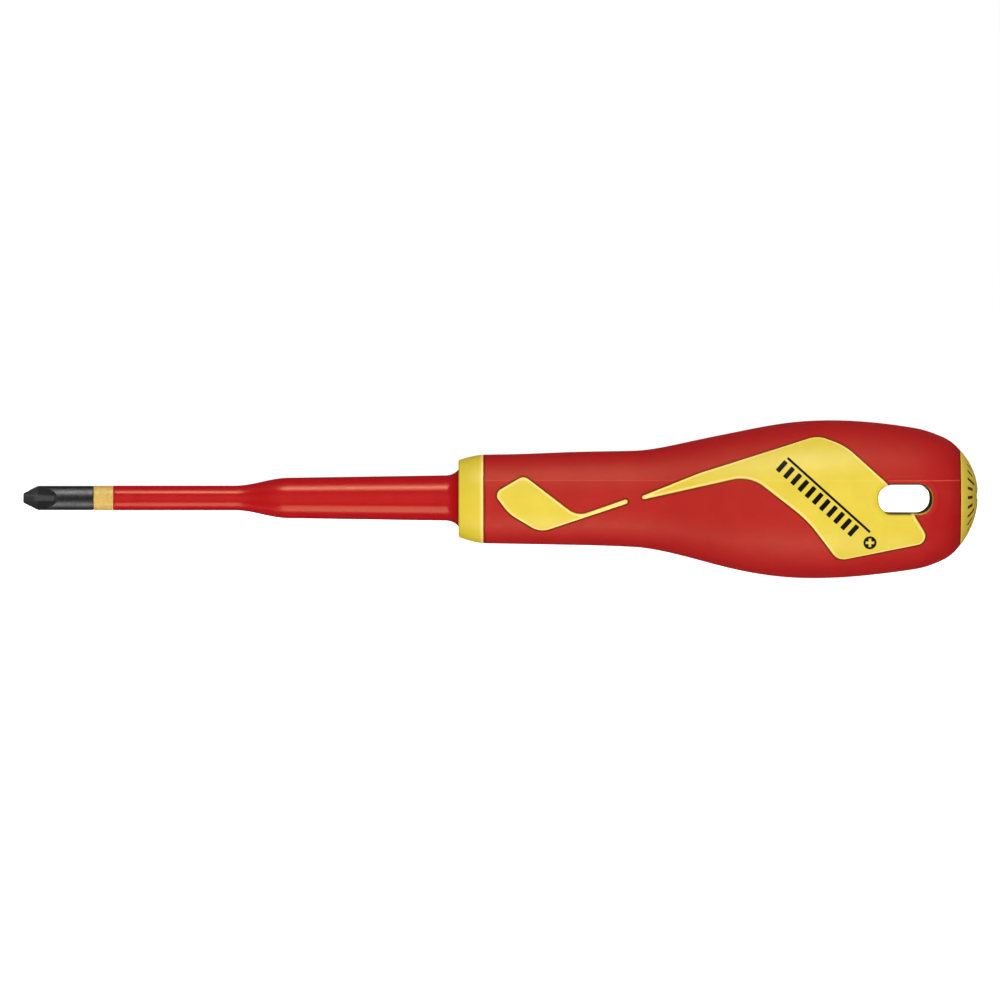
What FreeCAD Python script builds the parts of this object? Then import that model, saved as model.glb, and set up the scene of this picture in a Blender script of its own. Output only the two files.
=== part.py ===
"""Insulated cross-head screwdriver with a slim two-layer insulated blade and a soft-grip handle.

The tool lies along X. The origin is the middle of the blunt end of the driving tip, +X runs along
the blade to the butt of the handle, and Z is up when the hanging slot runs level, along Y.
All sizes are millimetres. Every node is one moulding, one forging or one set of printed marks.
"""

import FreeCAD, Part

import math
import os

from FreeCAD import Vector

# --- Driving dimensions -------------------------------------------------------------------------

TOOL_LENGTH = 219.3
BLADE_LENGTH = 100.0          # tip to the front face of the handle's collar

# Steel blade
TIP_END_RADIUS = 1.1
TIP_CONE_LENGTH = 3.4
HEAD_RADIUS = 2.78            # bare, blackened head of the blade
HEAD_LENGTH = 16.2            # standards for live work allow 18 of bare metal at most
NECK_RADIUS = 1.8             # ground down so that the insulation is flush with the head
NECK_END = 48.0
SHANK_RADIUS = 3.0
SHANK_START = 57.0
TANG_END = 180.0
TANG_CHAMFER = 0.6
NECK_GROOVES = (24.0, 32.0, 40.0)
NECK_GROOVE_WIDTH = 1.2
NECK_GROOVE_DEPTH = 0.25

# Driving end: a flat blade standing upright, with a narrower wing across it
FLAT_HALF_THICKNESS = 0.65
WING_HALF_THICKNESS = 0.57
WING_REACH = 2.35
FLAT_LENGTH = 3.4
RUNOUT_MIDDLE = (5.7, 1.6)
RUNOUT_END = 7.9

# Pressed ears that stop the tang turning in the handle
EAR_STARTS = (138.0, 158.0)
EAR_LENGTH = 11.0
EAR_HALF_WIDTH = 4.8
EAR_HALF_THICKNESS = 1.3
EAR_RAMP = 1.8

# Insulation: yellow inner layer, red outer layer
BAND_LENGTH = 4.5
BAND_END = HEAD_LENGTH + BAND_LENGTH
SLIM_RADIUS = 2.83
SLIM_INNER_RADIUS = 2.3
SLIM_END = 48.4
SWELL_END = 61.3
THICK_RADIUS = 4.66
SWELL_EASE = 0.36             # share of the swell over which each end stays level
INNER_THICK_RADIUS = 3.85
FLARE_START = 96.8
FLARE_START_RADIUS = 5.2
FLARE_RADIUS = 6.6
INNER_LAYER_END = 125.0
OUTER_LAYER_END = 122.0
LOCK_RING_RADIUS = 6.3
LOCK_GROOVE_RADIUS = 5.3
LOCK_RING_STEPS = (104.0, 107.0, 111.0, 114.0, 118.0)

# Handle skin, as x and radius. It is smooth through these points.
GRIP_START = 105.7
GRIP_END = 215.2
SKIN = (
    (GRIP_START, 10.2),
    (114.0, 10.34),
    (126.0, 10.68),
    (138.5, 11.0),
    (142.0, 11.2),
    (147.0, 11.98),
    (155.5, 13.93),
    (166.0, 16.28),
    (175.5, 17.74),
    (183.5, 18.14),
    (194.5, 17.57),
    (203.0, 16.52),
    (207.0, 15.74),
    (210.5, 14.46),
    (213.6, 12.62),
    (GRIP_END, 10.94),
)
GRIP_WALL = 2.0
ANCHOR_GROOVES = (110.0, 130.0, 147.0)
ANCHOR_GROOVE_WIDTH = 2.4
ANCHOR_GROOVE_DEPTH = 0.7

# Collar at the front of the handle
COLLAR_FACE_RADIUS = 8.5
COLLAR_ROUND = 0.5
COLLAR_SHOULDER = (102.6, 9.65)

# Hanging slot through the handle
SLOT_CENTRE = 202.3
SLOT_LENGTH = 12.3
SLOT_HEIGHT = 7.0
SLOT_CORNER = 3.15
SLOT_LIP = 1.0

# Moulded core on the tang
CORE_START = 122.0
CORE_END = 189.0
CORE_NOSE_RADIUS = 5.8
CORE_TAIL_RADIUS = 10.0
CORE_FIN_COUNT = 6
CORE_FIN_HEIGHT = 1.2
CORE_FIN_THICKNESS = 1.8

# End cap
DOME_SPHERE_RADIUS = 16.65
CAP_SPIGOT_RADIUS = 7.4
CAP_SPIGOT_BORE = 5.4
CAP_SPIGOT_LENGTH = 4.0
SNAP_BEAD_RADIUS = 7.8
SNAP_BEAD_WIDTH = 1.2
CAP_CROSS_LENGTH = 6.0
CAP_CROSS_WIDTH = 1.5
CAP_CROSS_DEPTH = 0.6

# Printed marks: hatch bars and a round cross symbol on each side, ticks round the cap
INK_DEPTH = 0.12
BAR_COUNT = 11
BAR_FIRST = (174.0, 7.5)
BAR_LAST = (190.35, -7.15)
BAR_LENGTH = 3.0
BAR_WIDTH = 1.1
BAR_TILT = 42.0
RULE_CENTRE = (184.75, 0.95)
RULE_LENGTH = 25.4
RULE_WIDTH = 0.55
SYMBOL_CENTRE = (194.2, -10.0)
SYMBOL_RADIUS = 1.5
SYMBOL_CROSS_WIDTH = 0.6
MARK_START = 5.0  # the marks are cut from prisms that start this far from the axis
TICK_COUNT = 24
TICK_WIDTH = 0.8
TICK_INNER_RADIUS = 6.4
TICK_OUTER_RADIUS = 8.9
TICK_LONG_INNER_RADIUS = 5.2
TICKS_PER_LONG = 4

# Windows in the grip, seen from the side: corners as x, z and corner radius
INLAY_WINDOW = (
    (108.0, 1.25, 1.7),
    (115.0, 5.4, 1.9),
    (127.2, -4.05, 4.5),
    (138.7, 0.05, 0.45),
    (138.9, -1.05, 0.45),
    (118.7, -7.9, 5.0),
    (111.6, -3.6, 9.0),
)
PANEL_WINDOW = (
    (141.9, 0.62, 0.3),
    (155.3, 6.05, 34.0),
    (182.3, 14.6, 6.5),
    (188.6, 12.3, 14.0),
    (202.0, 0.1, 0.7),
    (208.2, -10.05, 2.1),
    (186.9, -14.3, 3.2),
    (179.8, -4.85, 28.0),
    (166.7, 5.4, 8.5),
    (142.2, -0.2, 0.3),
)

AXIS = Vector(1, 0, 0)
ORIGIN = Vector(0, 0, 0)
FAR = 40.0                    # further from the axis than any surface of the tool


# --- Drawing helpers ----------------------------------------------------------------------------


class Outline:
    """A closed outline in the XZ plane, drawn edge by edge from a starting point."""

    def __init__(self, x, z):
        self.start = self.here = Vector(x, 0, z)
        self.edges = []

    def line(self, *points):
        for x, z in points:
            there = Vector(x, 0, z)
            if there.distanceToPoint(self.here) > 1e-7:
                self.edges.append(Part.LineSegment(self.here, there).toShape())
            self.here = there
        return self

    def arc(self, middle, end):
        there = Vector(end[0], 0, end[1])
        via = Vector(middle[0], 0, middle[1])
        self.edges.append(Part.Arc(self.here, via, there).toShape())
        self.here = there
        return self

    def ease(self, x, z, share):
        """A smooth step to (x, z) that leaves and arrives level."""
        lead = (x - self.here.x) * share
        poles = [self.here, self.here + Vector(lead, 0, 0), Vector(x - lead, 0, z), Vector(x, 0, z)]
        curve = Part.BezierCurve()
        curve.setPoles(poles)
        self.edges.append(curve.toShape())
        self.here = poles[-1]
        return self

    def through(self, points):
        """A smooth curve from here, which is the first point, through the rest."""
        curve = Part.BSplineCurve()
        curve.interpolate(
            Points=[Vector(x, 0, z) for x, z in points],
            Parameters=[x for x, _ in points],
        )
        self.edges.append(curve.toShape())
        self.here = Vector(points[-1][0], 0, points[-1][1])
        return self

    def face(self):
        self.line((self.start.x, self.start.z))
        return Part.Face(Part.Wire(self.edges))


def turned(outline):
    """The solid made by turning an outline about the tool's axis."""
    return outline.face().revolve(ORIGIN, AXIS, 360)


def cylinder(start, end, radius):
    return Part.makeCylinder(radius, end - start, Vector(start, 0, 0), AXIS)


def ring(start, end, inner, outer):
    return cylinder(start, end, outer).cut(cylinder(start, end, inner))


def bar(x, y, z, centre):
    """A box of the given size about a centre point."""
    corner = Vector(*centre) - Vector(x / 2, y / 2, z / 2)
    return Part.makeBox(x, y, z, corner)


def rolled(shape, degrees):
    """A copy of a shape, rolled about the tool's axis."""
    copy = shape.copy()
    copy.rotate(ORIGIN, AXIS, degrees)
    return copy


def both_sides(shape):
    """A shape of the near side, with the same shape on the far side."""
    return [shape, rolled(shape, 180)]


def rounded_face(corners):
    """A face in the XZ plane with straight sides and arcs of the given radii at its corners."""
    rounds = []
    for i, (x, z, radius) in enumerate(corners):
        corner = Vector(x, 0, z)
        before, after = corners[i - 1], corners[(i + 1) % len(corners)]
        back = (Vector(before[0], 0, before[1]) - corner).normalize()
        ahead = (Vector(after[0], 0, after[1]) - corner).normalize()
        half_angle = back.getAngle(ahead) / 2
        setback = radius / math.tan(half_angle)
        to_centre = (back + ahead).normalize() * (radius / math.sin(half_angle))
        middle = corner + to_centre - Vector(to_centre).normalize() * radius
        rounds.append((corner + back * setback, middle, corner + ahead * setback))
    outline = Outline(rounds[0][2].x, rounds[0][2].z)
    for first, middle, last in rounds[1:] + rounds[:1]:
        outline.line((first.x, first.z))
        outline.arc((middle.x, middle.z), (last.x, last.z))
    return outline.face()


def near_prism(face):
    """What lies on the near side of a face in the XZ plane."""
    return face.extrude(Vector(0, -FAR, 0))


def merged(shapes):
    """One solid from several that touch or overlap."""
    return shapes[0].multiFuse(shapes[1:]).removeSplitter()


def solids_of(shape):
    """The solids of a shape, alone or as a group."""
    solids = shape.Solids
    return solids[0] if len(solids) == 1 else Part.makeCompound(solids)


# --- Blade and its insulation -------------------------------------------------------------------


def blade_bar():
    """The turned steel bar: head, ground neck with keying grooves, shank and tang."""
    outline = Outline(0, 0).line((0, TIP_END_RADIUS), (TIP_CONE_LENGTH, HEAD_RADIUS))
    outline.line((HEAD_LENGTH, HEAD_RADIUS), (HEAD_LENGTH, NECK_RADIUS))
    for x in NECK_GROOVES:
        floor = NECK_RADIUS - NECK_GROOVE_DEPTH
        outline.line((x, NECK_RADIUS), (x, floor))
        outline.line((x + NECK_GROOVE_WIDTH, floor), (x + NECK_GROOVE_WIDTH, NECK_RADIUS))
    outline.line((NECK_END, NECK_RADIUS), (SHANK_START, SHANK_RADIUS))
    outline.line((TANG_END - TANG_CHAMFER, SHANK_RADIUS), (TANG_END, SHANK_RADIUS - TANG_CHAMFER))
    return turned(outline.line((TANG_END, 0)))


def tip_relief():
    """What is ground away on one side of the tip, leaving the upright blade and the wing."""
    floor = FLAT_HALF_THICKNESS
    flat = Outline(-1, floor).line((FLAT_LENGTH, floor))
    flat.arc(RUNOUT_MIDDLE, (RUNOUT_END, HEAD_RADIUS)).line((RUNOUT_END + 1, FAR), (-1, FAR))
    side = flat.face().extrude(Vector(0, 2 * FAR, 0))
    side.translate(Vector(0, -FAR, 0))
    side = rolled(side, 90)
    wing = bar(2 * FAR, 2 * WING_REACH, 2 * WING_HALF_THICKNESS, (0, 0, 0))
    return side.cut(wing)


def ears(start, roll):
    """One pair of ears, pressed out of the tang to its two sides."""
    end = start + EAR_LENGTH
    half = EAR_HALF_WIDTH
    outline = Outline(start, -NECK_RADIUS).line((start, NECK_RADIUS), (start + EAR_RAMP, half))
    outline.line((end - EAR_RAMP, half), (end, NECK_RADIUS), (end, -NECK_RADIUS))
    outline.line((end - EAR_RAMP, -half), (start + EAR_RAMP, -half))
    plate = outline.face().extrude(Vector(0, 2 * EAR_HALF_THICKNESS, 0))
    plate.translate(Vector(0, -EAR_HALF_THICKNESS, 0))
    return rolled(plate, roll)


def make_blade():
    steel = blade_bar()
    for relief in both_sides(tip_relief()):
        steel = steel.cut(relief)
    return merged([steel] + [ears(x, 90 * i) for i, x in enumerate(EAR_STARTS)])


def inner_layer_body():
    """Inner layer with no bore: the flush band, the thin stretch and the thick stretch."""
    outline = Outline(HEAD_LENGTH, 0).line((HEAD_LENGTH, HEAD_RADIUS), (BAND_END, HEAD_RADIUS))
    outline.line((BAND_END, SLIM_INNER_RADIUS), (SLIM_END, SLIM_INNER_RADIUS))
    outline.ease(SWELL_END, INNER_THICK_RADIUS, SWELL_EASE)
    outline.line((INNER_LAYER_END, INNER_THICK_RADIUS), (INNER_LAYER_END, 0))
    return turned(outline)


def outer_layer_body():
    """Outer layer with no bore, with the flare at the handle and the rings locked inside it."""
    outline = Outline(BAND_END, 0).line((BAND_END, SLIM_RADIUS), (SLIM_END, SLIM_RADIUS))
    outline.ease(SWELL_END, THICK_RADIUS, SWELL_EASE)
    outline.line((FLARE_START, FLARE_START_RADIUS))
    rise = FLARE_RADIUS - FLARE_START_RADIUS
    run = BLADE_LENGTH - FLARE_START
    middle = (FLARE_START + 0.62 * run, FLARE_START_RADIUS + 0.3 * rise)
    outline.arc(middle, (BLADE_LENGTH, FLARE_RADIUS))
    radius = LOCK_RING_RADIUS
    outline.line((BLADE_LENGTH, radius))
    for x in LOCK_RING_STEPS:
        outline.line((x, radius))
        radius = LOCK_GROOVE_RADIUS + LOCK_RING_RADIUS - radius
        outline.line((x, radius))
    return turned(outline.line((OUTER_LAYER_END, radius), (OUTER_LAYER_END, 0)))


# --- Handle -------------------------------------------------------------------------------------


def skin_body(depth=0.0):
    """The handle's turned body between collar and cap, at a depth under its skin."""
    points = [(x, radius - depth) for x, radius in SKIN]
    outline = Outline(GRIP_START, 0).line(points[0]).through(points).line((GRIP_END, 0))
    return turned(outline)


def slot_prism():
    """The bar with rounded edges that fills the hanging slot."""
    corners = []
    for x, z in ((-1, -1), (1, -1), (1, 1), (-1, 1)):
        corners.append((SLOT_CENTRE + x * SLOT_LENGTH / 2, z * SLOT_HEIGHT / 2, SLOT_CORNER))
    prism = rounded_face(corners).extrude(Vector(0, 2 * FAR, 0))
    prism.translate(Vector(0, -FAR, 0))
    return prism


def slotted_skin(slot):
    """The handle's full body with the slot through it and its mouths rounded."""
    body = skin_body().cut(slot)
    reach = SLOT_LENGTH / 2 + SLOT_LIP
    mouths = []
    for edge in body.Edges:
        box = edge.BoundBox
        beside_slot = box.XMin > SLOT_CENTRE - reach and box.XMax < SLOT_CENTRE + reach
        on_skin = (box.YMin > 0 or box.YMax < 0) and box.YLength < SLOT_HEIGHT
        if beside_slot and on_skin and abs(box.ZMin) < SLOT_HEIGHT:
            mouths.append(edge)
    return body.makeFillet(SLOT_LIP, mouths)


def windows():
    """Prisms through both windows of the grip, on both sides of the handle."""
    prisms = []
    for corners in (INLAY_WINDOW, PANEL_WINDOW):
        prisms += both_sides(near_prism(rounded_face(corners)))
    return prisms


def grip_seat(slot):
    """The hard body under the grip, with the ring grooves that key the grip to it."""
    seat = skin_body(GRIP_WALL).cut(slot)
    for x in ANCHOR_GROOVES:
        floor = skin_radius(x) - GRIP_WALL - ANCHOR_GROOVE_DEPTH
        seat = seat.cut(ring(x, x + ANCHOR_GROOVE_WIDTH, floor, FAR))
    return seat


def skin_radius(x):
    """The radius of the handle's skin at x."""
    curve = Part.BSplineCurve()
    curve.interpolate(
        Points=[Vector(knot, 0, radius) for knot, radius in SKIN],
        Parameters=[knot for knot, _ in SKIN],
    )
    return curve.value(x).z


def collar():
    """The collar in front of the grip, a shallow dome with a rounded front corner."""
    face, edge = BLADE_LENGTH, COLLAR_FACE_RADIUS
    outline = Outline(face, 0).line((face, edge))
    corner = (face + 0.3 * COLLAR_ROUND, edge + 0.7 * COLLAR_ROUND)
    outline.arc(corner, (face + COLLAR_ROUND, edge + COLLAR_ROUND))
    outline.arc(COLLAR_SHOULDER, SKIN[0]).line((GRIP_START, 0))
    return turned(outline)


def tang_core_body():
    """The core moulded on the tang before the handle: a bottle shape with fins."""

    def bottle(extra):
        nose, tail = CORE_NOSE_RADIUS + extra, CORE_TAIL_RADIUS + extra
        round_off = 2.0
        outline = Outline(CORE_START, 0).line((CORE_START, nose), (EAR_STARTS[0], nose))
        outline.ease(EAR_STARTS[1] + EAR_LENGTH, tail, SWELL_EASE)
        outline.line((CORE_END - round_off, tail), (CORE_END, tail - round_off), (CORE_END, 0))
        return turned(outline)

    fins = [
        rolled(bar(2 * TOOL_LENGTH, CORE_FIN_THICKNESS, FAR, (0, 0, FAR / 2)), i * 360 / CORE_FIN_COUNT)
        for i in range(CORE_FIN_COUNT)
    ]
    return merged([bottle(0)] + [bottle(CORE_FIN_HEIGHT).common(fin) for fin in fins])


def dome(depth=0.0):
    """The round butt of the tool behind the grip, at a depth under its surface."""
    ball = Part.makeSphere(DOME_SPHERE_RADIUS - depth, Vector(TOOL_LENGTH - DOME_SPHERE_RADIUS, 0, 0))
    return ball.common(cylinder(GRIP_END, TOOL_LENGTH + 1, FAR))


def cap_spigot():
    """The plug under the dome, with the bead that snaps into the handle."""
    start = GRIP_END - CAP_SPIGOT_LENGTH
    middle = GRIP_END - CAP_SPIGOT_LENGTH / 2
    half = SNAP_BEAD_WIDTH / 2
    outline = Outline(start, CAP_SPIGOT_BORE).line((start, CAP_SPIGOT_RADIUS))
    outline.line((middle - half, CAP_SPIGOT_RADIUS))
    outline.arc((middle, SNAP_BEAD_RADIUS), (middle + half, CAP_SPIGOT_RADIUS))
    outline.line((GRIP_END, CAP_SPIGOT_RADIUS), (GRIP_END, CAP_SPIGOT_BORE))
    return turned(outline)


def make_end_cap(ticks):
    cap = merged([dome(), cap_spigot()])
    for roll in (0, 90):
        arm = bar(CAP_CROSS_DEPTH * 2, CAP_CROSS_LENGTH, CAP_CROSS_WIDTH, (TOOL_LENGTH, 0, 0))
        cap = cap.cut(rolled(arm, roll))
    return cap.cut(ticks)


# --- Printed marks ------------------------------------------------------------------------------


def slanted_bar(centre, width, length, tilt):
    """An upright prism on the near side, its length leaning by tilt degrees."""
    x, z = centre
    block = bar(width, FAR, length, (x, -MARK_START - FAR / 2, z))
    block.rotate(Vector(x, 0, z), Vector(0, 1, 0), tilt)
    return block


def hatch_bars():
    """A long rule along the near panel with slanted bars in a row beneath it."""
    bars = [slanted_bar(RULE_CENTRE, RULE_WIDTH, RULE_LENGTH, BAR_TILT + 90)]
    for i in range(BAR_COUNT):
        share = i / (BAR_COUNT - 1)
        x = BAR_FIRST[0] + share * (BAR_LAST[0] - BAR_FIRST[0])
        z = BAR_FIRST[1] + share * (BAR_LAST[1] - BAR_FIRST[1])
        bars.append(slanted_bar((x, z), BAR_WIDTH, BAR_LENGTH, BAR_TILT))
    return bars


def screw_symbol():
    """A disc with a cross left open in it, below the hatch bars."""
    x, z = SYMBOL_CENTRE
    disc = Part.makeCylinder(SYMBOL_RADIUS, FAR, Vector(x, -MARK_START, z), Vector(0, -1, 0))
    for size in ((SYMBOL_RADIUS * 1.3, SYMBOL_CROSS_WIDTH), (SYMBOL_CROSS_WIDTH, SYMBOL_RADIUS * 1.3)):
        disc = disc.cut(bar(size[0], 2 * FAR, size[1], (x, 0, z)))
    return disc


def make_panel_marks():
    outside, under_ink = skin_body(), skin_body(INK_DEPTH)
    marks = []
    for shape in hatch_bars() + [screw_symbol()]:
        for side in both_sides(shape):
            marks += side.common(outside).cut(under_ink).Solids
    return Part.makeCompound(marks)


def make_cap_marks():
    film = dome().cut(dome(INK_DEPTH))
    marks = []
    for i in range(TICK_COUNT):
        inner = TICK_INNER_RADIUS if i % TICKS_PER_LONG else TICK_LONG_INNER_RADIUS
        length = TICK_OUTER_RADIUS - inner
        tick = bar(FAR, TICK_WIDTH, length, (TOOL_LENGTH, 0, inner + length / 2))
        marks += film.common(rolled(tick, i * 360 / TICK_COUNT)).Solids
    return Part.makeCompound(marks)


# --- Assembly -----------------------------------------------------------------------------------


def make_parts():
    """Every node by name. Each piece is cut back to the pieces moulded or pressed inside it."""
    blade = make_blade()
    inner_layer = inner_layer_body().cut(blade)
    outer_layer = outer_layer_body().cut(inner_layer_body())
    core = tang_core_body().cut(inner_layer_body()).cut(blade)

    slot = slot_prism()
    skin = slotted_skin(slot)
    seat = grip_seat(slot)
    prisms = windows()
    panel_marks = make_panel_marks()
    cap_marks = make_cap_marks()

    grip = skin.cut(seat)
    for prism in prisms:
        grip = grip.cut(prism)

    body = merged([collar(), seat] + [skin.common(prism) for prism in prisms])
    for inside in (tang_core_body(), outer_layer_body(), inner_layer_body(), blade):
        body = body.cut(inside)
    cap = make_end_cap(cap_marks)
    pocket = cylinder(GRIP_END - CAP_SPIGOT_LENGTH, GRIP_END, CAP_SPIGOT_RADIUS)
    body = body.cut(pocket).cut(cap_spigot())
    for mark in panel_marks.Solids:
        body = body.cut(mark)

    return {
        "blade": blade,
        "inner_insulation": inner_layer,
        "outer_insulation": outer_layer,
        "tang_core": core,
        "handle_body": body,
        "soft_grip": grip,
        "end_cap": cap,
        "panel_marks": panel_marks,
        "end_cap_marks": cap_marks,
    }


def main():
    os.makedirs("parts", exist_ok=True)
    for name, shape in make_parts().items():
        shape = solids_of(shape)
        shape.exportStep(f"parts/{name}.step")
        box = shape.BoundBox
        print(
            f"{name}: {len(shape.Solids)} solids, valid {shape.isValid()}, {shape.Volume / 1000:.3f} cm3,",
            f"x {box.XMin:.2f} to {box.XMax:.2f}, z {box.ZMin:.2f} to {box.ZMax:.2f}",
        )


main()
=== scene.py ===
import math

import bmesh
import bpy
import numpy as np
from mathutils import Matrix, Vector
from mathutils.geometry import delaunay_2d_cdt


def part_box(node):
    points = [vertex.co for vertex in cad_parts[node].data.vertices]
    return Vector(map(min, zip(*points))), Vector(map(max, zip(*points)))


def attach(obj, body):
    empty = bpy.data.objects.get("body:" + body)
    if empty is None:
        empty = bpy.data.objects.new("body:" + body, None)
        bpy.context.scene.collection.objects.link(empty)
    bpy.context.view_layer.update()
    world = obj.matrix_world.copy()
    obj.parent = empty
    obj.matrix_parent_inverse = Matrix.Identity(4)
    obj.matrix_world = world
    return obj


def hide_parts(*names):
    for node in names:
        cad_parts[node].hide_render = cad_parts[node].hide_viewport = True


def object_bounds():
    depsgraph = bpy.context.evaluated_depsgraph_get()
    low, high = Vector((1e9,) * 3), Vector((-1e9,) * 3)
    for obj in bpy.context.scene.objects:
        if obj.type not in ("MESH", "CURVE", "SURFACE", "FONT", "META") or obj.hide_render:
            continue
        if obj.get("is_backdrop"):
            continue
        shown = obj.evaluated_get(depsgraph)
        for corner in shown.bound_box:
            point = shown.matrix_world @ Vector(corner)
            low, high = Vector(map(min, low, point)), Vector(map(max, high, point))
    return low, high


# An insulated screwdriver, from the tip at x = 0 to the butt. Shapes are drawn in millimetres and
# turned into metres when their mesh is made. The near side is -Y. The far side is the near side
# turned half a turn about the tool's axis, X.

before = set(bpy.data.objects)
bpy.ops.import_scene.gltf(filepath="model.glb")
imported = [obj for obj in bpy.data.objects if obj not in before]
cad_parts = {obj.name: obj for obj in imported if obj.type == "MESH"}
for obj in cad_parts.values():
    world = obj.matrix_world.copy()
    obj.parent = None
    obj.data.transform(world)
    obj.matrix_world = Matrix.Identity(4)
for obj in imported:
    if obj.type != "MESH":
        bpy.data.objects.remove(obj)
cad_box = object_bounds()

MM = 0.001

# --- Sizes, in millimetres ----------------------------------------------------------------------

BLADE_LENGTH = 100.0
TOOL_LENGTH = 219.3
BAND_START, BAND_END = 16.2, 20.7

# Steel: sections along the head and the neck, as x and radius
TIP_END_RADIUS = 1.1
CONE_LENGTH = 3.4
HEAD_RADIUS = 2.78
NECK_RADIUS = 1.8
SHANK_RADIUS = 3.0
NECK_END, SHANK_START = 48.0, 57.0
TANG_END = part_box("blade")[1].x / MM
FLAT_HALF_THICKNESS = 0.65
WING_HALF_THICKNESS = 0.57
WING_REACH = 2.35
FLAT_LENGTH = 3.4
RUNOUT_MIDDLE = (5.7, 1.6)
RUNOUT_END = 7.9

# Insulation
BAND_PROUD = 0.015            # how far the yellow band stands over the head
LAYER_EDGE = 0.12
INNER_LAYER_END = 125.0
SLIM_RADIUS, SLIM_BORE = 2.83, 2.3
THICK_RADIUS, THICK_BORE = 4.66, 3.85
SLIM_END, SWELL_END = 48.4, 61.3
SWELL_EASE = 0.36
FLARE_START = (96.8, 5.2)
FLARE_MIDDLE = (98.78, 5.62)
FLARE_RADIUS = 6.6
SLEEVE_END = 104.0

# Handle skin, as x and radius
GRIP_START, GRIP_END = 105.7, 215.2
SKIN = (
    (GRIP_START, 10.2),
    (114.0, 10.34),
    (126.0, 10.68),
    (138.5, 11.0),
    (142.0, 11.2),
    (147.0, 11.98),
    (155.5, 13.93),
    (166.0, 16.28),
    (175.5, 17.74),
    (183.5, 18.12),
    (194.5, 17.57),
    (203.0, 16.52),
    (207.0, 15.74),
    (210.5, 14.46),
    (213.6, 12.62),
    (GRIP_END, 10.94),
)
# The handle's middle wanders a little below and above the tool's axis: x and height
SWAY = (
    (BLADE_LENGTH, -0.15),
    (110.0, -0.24),
    (130.0, -0.1),
    (142.0, -0.22),
    (153.0, -0.36),
    (164.6, -0.64),
    (174.0, -0.5),
    (183.0, -0.29),
    (201.0, -0.12),
    (211.0, -0.12),
    (GRIP_END, 0.05),
    (TOOL_LENGTH, 0.5),
)
GRIP_WALL = 2.0
COLLAR_SHOULDER = (102.6, 9.65)
COLLAR_BORE = FLARE_RADIUS + 0.02

# Windows, as x, z and corner radius, drawn round in one turning sense
INLAY_WINDOW = (
    (108.0, 1.25, 1.7),
    (115.0, 5.4, 1.9),
    (127.2, -4.05, 4.5),
    (138.7, 0.05, 0.45),
    (138.9, -1.05, 0.45),
    (118.7, -7.9, 5.0),
    (111.6, -3.6, 9.0),
)
PANEL_WINDOW = (
    (141.9, 0.62, 0.3),
    (155.3, 6.05, 34.0),
    (182.3, 14.6, 6.5),
    (188.6, 12.3, 14.0),
    (202.0, 0.1, 0.7),
    (208.2, -10.05, 2.1),
    (186.9, -14.3, 3.2),
    (179.8, -4.85, 28.0),
    (166.7, 5.4, 8.5),
    (142.2, -0.2, 0.3),
)
SLOT_CENTRE = 202.3
SLOT_LENGTH, SLOT_HEIGHT, SLOT_CORNER = 12.3, 7.0, 3.15
SLOT_LIP = 1.0
SLOT_BEAD_GAP, SLOT_BEAD_HEIGHT = 1.4, 0.09
SLOT_RIM = 0.22               # how far the yellow lining shows on the lip
SLOT_SKIN_WALL = 1.1          # how far the skins reach into the slot
LINING_WALL = 1.2
MOULD_LINE_LEVEL, MOULD_LINE_HALF_WIDTH, MOULD_LINE_HEIGHT = 4.2, 0.17, 0.035
# Along the handle: the mould line's height, less beside the marks, and the strength of its painted
# highlight
MOULD_LINE_RISE = ((148, 160, 193, 197), (1.0, 0.25, 0.25, 1.0))
MOULD_LINE_PAINTED_HIGHLIGHT = ((120, 155, 190, 206, 210), (0.5, 0.3, 0.3, 0.8, 1.0))

# Edges where two mouldings meet
RED_EDGE, YELLOW_EDGE, END_EDGE = 0.14, 0.3, 0.16
# Painted shade and painted highlight beside the windows: distances where each is full and where it ends
SEAM_PAINTED_SHADE, EDGE_PAINTED_HIGHLIGHT = (0.2, 0.5), (0.36, 0.7)
# Painted shade in the slot: brown deep inside, and as far as its mouth on its floor: depths from
# the tool's middle where the painted shade is full and where it ends, and heights of the floor
DEEP_PAINTED_SHADE, FLOOR_PAINTED_SHADE, FLOOR_HEIGHTS = (13.0, 14.6), (15.0, 17.5), (-3.1, -2.5)
# Painted brown shade on the lip under the slot: its strength, distances from the slot and heights
LIP_PAINTED_SHADE, LIP_GAPS, LIP_HEIGHTS = 0.85, (0.09, 0.42), (-3.3, -2.9)
# Painted brown shade on the rim where the red surrounds it, stronger at the top, where the lip faces down
RIM_PAINTED_SHADE, RIM_TOP_PAINTED_SHADE, RIM_HEIGHTS = 0.45, 1.0, (-3.2, -2.2)

# End cap
DOME_SPHERE_RADIUS = 16.65
CAP_RADIUS = 10.94
CAP_EDGE = 0.25
CROSS_LENGTH, CROSS_WIDTH, CROSS_DEPTH = 6.0, 1.5, 0.6
TICK_COUNT, TICKS_PER_LONG = 24, 4
TICK_WIDTH, TICK_OUTER, TICK_INNER, TICK_LONG_INNER = 0.8, 8.9, 6.4, 5.2
TICK_DEPTH = 0.1
TICK_SLOPE = 0.08             # how far the floor of a tick lies inside its outline

# Printed marks on the panel
BAR_COUNT = 11
BAR_FIRST, BAR_LAST = (174.0, 7.5), (190.35, -7.15)
BAR_LENGTH, BAR_WIDTH, BAR_TILT = 3.0, 1.1, 42.0
RULE_CENTRE, RULE_LENGTH, RULE_WIDTH = (184.75, 0.95), 25.4, 0.55
SYMBOL_CENTRE, SYMBOL_RADIUS, SYMBOL_CROSS_WIDTH = (194.2, -10.0), 1.5, 0.6
INK_HEIGHT, INK_FOOT = 0.02, 0.15

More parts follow.
